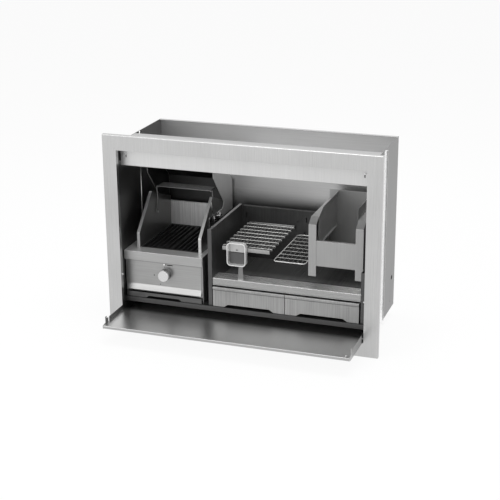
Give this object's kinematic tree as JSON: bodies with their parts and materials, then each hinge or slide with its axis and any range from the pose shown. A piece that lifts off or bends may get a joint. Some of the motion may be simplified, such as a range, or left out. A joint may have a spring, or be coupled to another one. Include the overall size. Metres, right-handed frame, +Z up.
{
  "type": "built-in barbecue grill",
  "caption": "Built-in steel barbecue in a wide frame: hooded gas grill with knob and drip tray, charcoal hearth with wire grids, wood basket, drawers and a fold-down shelf.",
  "frame": {"origin": "centre of the cabinet's underside, half way between the side walls and between the frame's front face and the back wall", "axes": "+X to the right as seen from the front, +Y to the back, +Z up"},
  "size_m": [1.2, 0.712, 0.853],
  "materials": {
    "stainless": "brushed",
    "plated_steel": "satin",
    "fasteners": "satin",
    "wire": "bright",
    "cast_iron": "matt",
    "knob_metal": "satin",
    "black_plastic": "matt",
    "brass": "satin"
  },
  "bodies": {
    "cabinet": {"ash_floor": "plated_steel", "base_pan": "plated_steel", "burner": "plated_steel", "cabinet_back": "plated_steel", "cabinet_wall_left": "plated_steel", "cabinet_wall_right": "plated_steel", "control_panel": "stainless", "flame_tamer": "plated_steel", "flap_hinge_pins": "fasteners", "front_frame": "stainless", "front_rail": "stainless", "gas_casing": "plated_steel", "gas_pipe": "plated_steel", "gas_surround": "stainless", "gas_valve": "brass", "grate_rests": "plated_steel", "header_plate": "plated_steel", "hearth_back_plate": "plated_steel", "hearth_floor": "stainless", "hearth_left_plate": "stainless", "hearth_right_plate": "stainless", "hood_hinge": "fasteners", "igniter_collar": "knob_metal", "igniter_housing": "black_plastic", "knob_bezel": "knob_metal", "latch_pins": "fasteners", "latch_plates": "plated_steel", "rack_pivots": "fasteners", "slide_runners": "plated_steel", "splash_plate": "stainless", "strip_bolts": "fasteners", "strip_brackets": "plated_steel", "wall_ties": "plated_steel", "wings": "stainless"},
    "shelf": {"flap_shelf": "stainless", "flap_cheeks": "stainless"},
    "draught_strip": {"draught_strip": "stainless"},
    "drawer_left": {"drawer_left_front": "stainless", "drawer_left_box": "plated_steel"},
    "drawer_right": {"drawer_right_front": "stainless", "drawer_right_box": "plated_steel"},
    "drip_tray": {"drip_tray": "stainless"},
    "hood": {"hood_skin": "stainless", "hood_ends": "stainless"},
    "rack_links": {"rack_links": "wire"},
    "warming_rack": {"warming_rack": "wire"},
    "knob": {"knob": "knob_metal"},
    "igniter_button": {"igniter_button": "black_plastic"},
    "cast_grates": {"cast_grates": "cast_iron"},
    "grid_left": {"grid_left": "wire"},
    "grid_right": {"grid_right": "wire"},
    "grid_prop": {"prop_loop": "stainless", "prop_upper_plate": "stainless", "prop_lower_plate": "stainless", "prop_stem": "stainless"},
    "wood_basket": {"basket_side_left": "stainless", "basket_side_right": "stainless", "basket_front": "stainless", "basket_back": "stainless", "basket_grate": "wire"}
  },
  "joints": [
    {"name": "shelf_hinge", "type": "hinge", "parent": "cabinet", "child": "shelf", "pos_m": [0, -0.242, 0.03], "axis": [-1, 0, 0], "range_deg": [0, 90]},
    {"name": "draught_strip_slide", "type": "slide", "parent": "cabinet", "child": "draught_strip", "axis": [0, 0, 1], "range_m": [0, 0.014]},
    {"name": "drawer_left_slide", "type": "slide", "parent": "cabinet", "child": "drawer_left", "axis": [0, 1, 0], "range_m": [-0.3, 0]},
    {"name": "drawer_right_slide", "type": "slide", "parent": "cabinet", "child": "drawer_right", "axis": [0, 1, 0], "range_m": [-0.3, 0]},
    {"name": "drip_tray_slide", "type": "slide", "parent": "cabinet", "child": "drip_tray", "axis": [0, 1, 0], "range_m": [-0.3, 0]},
    {"name": "hood_hinge", "type": "hinge", "parent": "cabinet", "child": "hood", "pos_m": [-0.355, 0.079, 0.395], "axis": [1, 0, 0], "range_deg": [0, 90]},
    {"name": "rack_link_swing", "type": "hinge", "parent": "cabinet", "child": "rack_links", "pos_m": [-0.355, 0.041, 0.393], "axis": [1, 0, 0], "range_deg": [0, 40]},
    {"name": "rack_level", "type": "hinge", "parent": "rack_links", "child": "warming_rack", "pos_m": [-0.355, 0.041, 0.511], "axis": [1, 0, 0], "range_deg": [-40, 0]},
    {"name": "knob_turn", "type": "hinge", "parent": "cabinet", "child": "knob", "pos_m": [-0.353, -0.212, 0.193], "axis": [0, -1, 0], "range_deg": [0, 180]},
    {"name": "igniter_push", "type": "slide", "parent": "cabinet", "child": "igniter_button", "axis": [0, 1, 0], "range_m": [0, 0.004], "stiffness_N_per_m": 400, "springref_m": -0.002},
    {"name": "cast_grates_lift", "type": "slide", "parent": "cabinet", "child": "cast_grates", "axis": [0, 0, -1], "range_m": [-0.06, 0]},
    {"name": "grid_left_lift", "type": "slide", "parent": "cabinet", "child": "grid_left", "axis": [0, 0, -1], "range_m": [-0.008, 0]},
    {"name": "grid_right_lift", "type": "slide", "parent": "cabinet", "child": "grid_right", "axis": [0, 0, -1], "range_m": [-0.008, 0]},
    {"name": "wood_basket_lift", "type": "slide", "parent": "cabinet", "child": "wood_basket", "axis": [0, 0, -1], "range_m": [-0.04, 0]},
    {"name": "grid_prop_pull", "type": "slide", "parent": "cabinet", "child": "grid_prop", "axis": [0, 1, 0], "range_m": [-0.035, 0]}
  ],
  "couplings": [
    {"joint": "rack_link_swing", "follows": "hood_hinge", "ratio": 0.44444},
    {"joint": "rack_level", "follows": "hood_hinge", "ratio": -0.44444}
  ]
}
